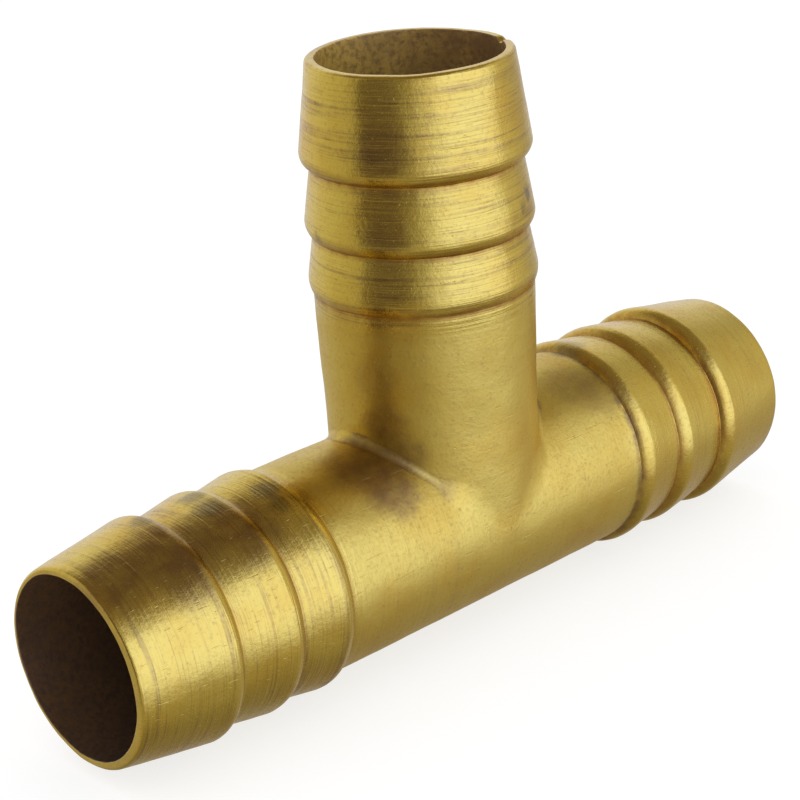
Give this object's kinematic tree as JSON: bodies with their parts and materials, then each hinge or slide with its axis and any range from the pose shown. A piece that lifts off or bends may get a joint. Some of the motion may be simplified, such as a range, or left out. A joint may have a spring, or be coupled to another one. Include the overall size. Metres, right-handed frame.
{
  "type": "barbed tee connector",
  "caption": "Brass hose tee: a straight barbed tube with an equal barbed branch brazed to its side, joining flexible hoses end to end and off to one side.",
  "frame": {"origin": "under the middle of the run, at the height of its lowest barb crests", "axes": "+X along the run, +Z along the branch towards its mouth, +Y across both"},
  "size_m": [0.0838, 0.0214, 0.0553],
  "materials": {
    "turned_brass": "turned and hand-polished, lightly tarnished",
    "braze_metal": "brass filler, as flowed, lightly tarnished"
  },
  "bodies": {
    "root": {"run_tube": "turned_brass", "branch_tube": "turned_brass", "braze_fillet": "braze_metal"}
  },
  "joints": []
}
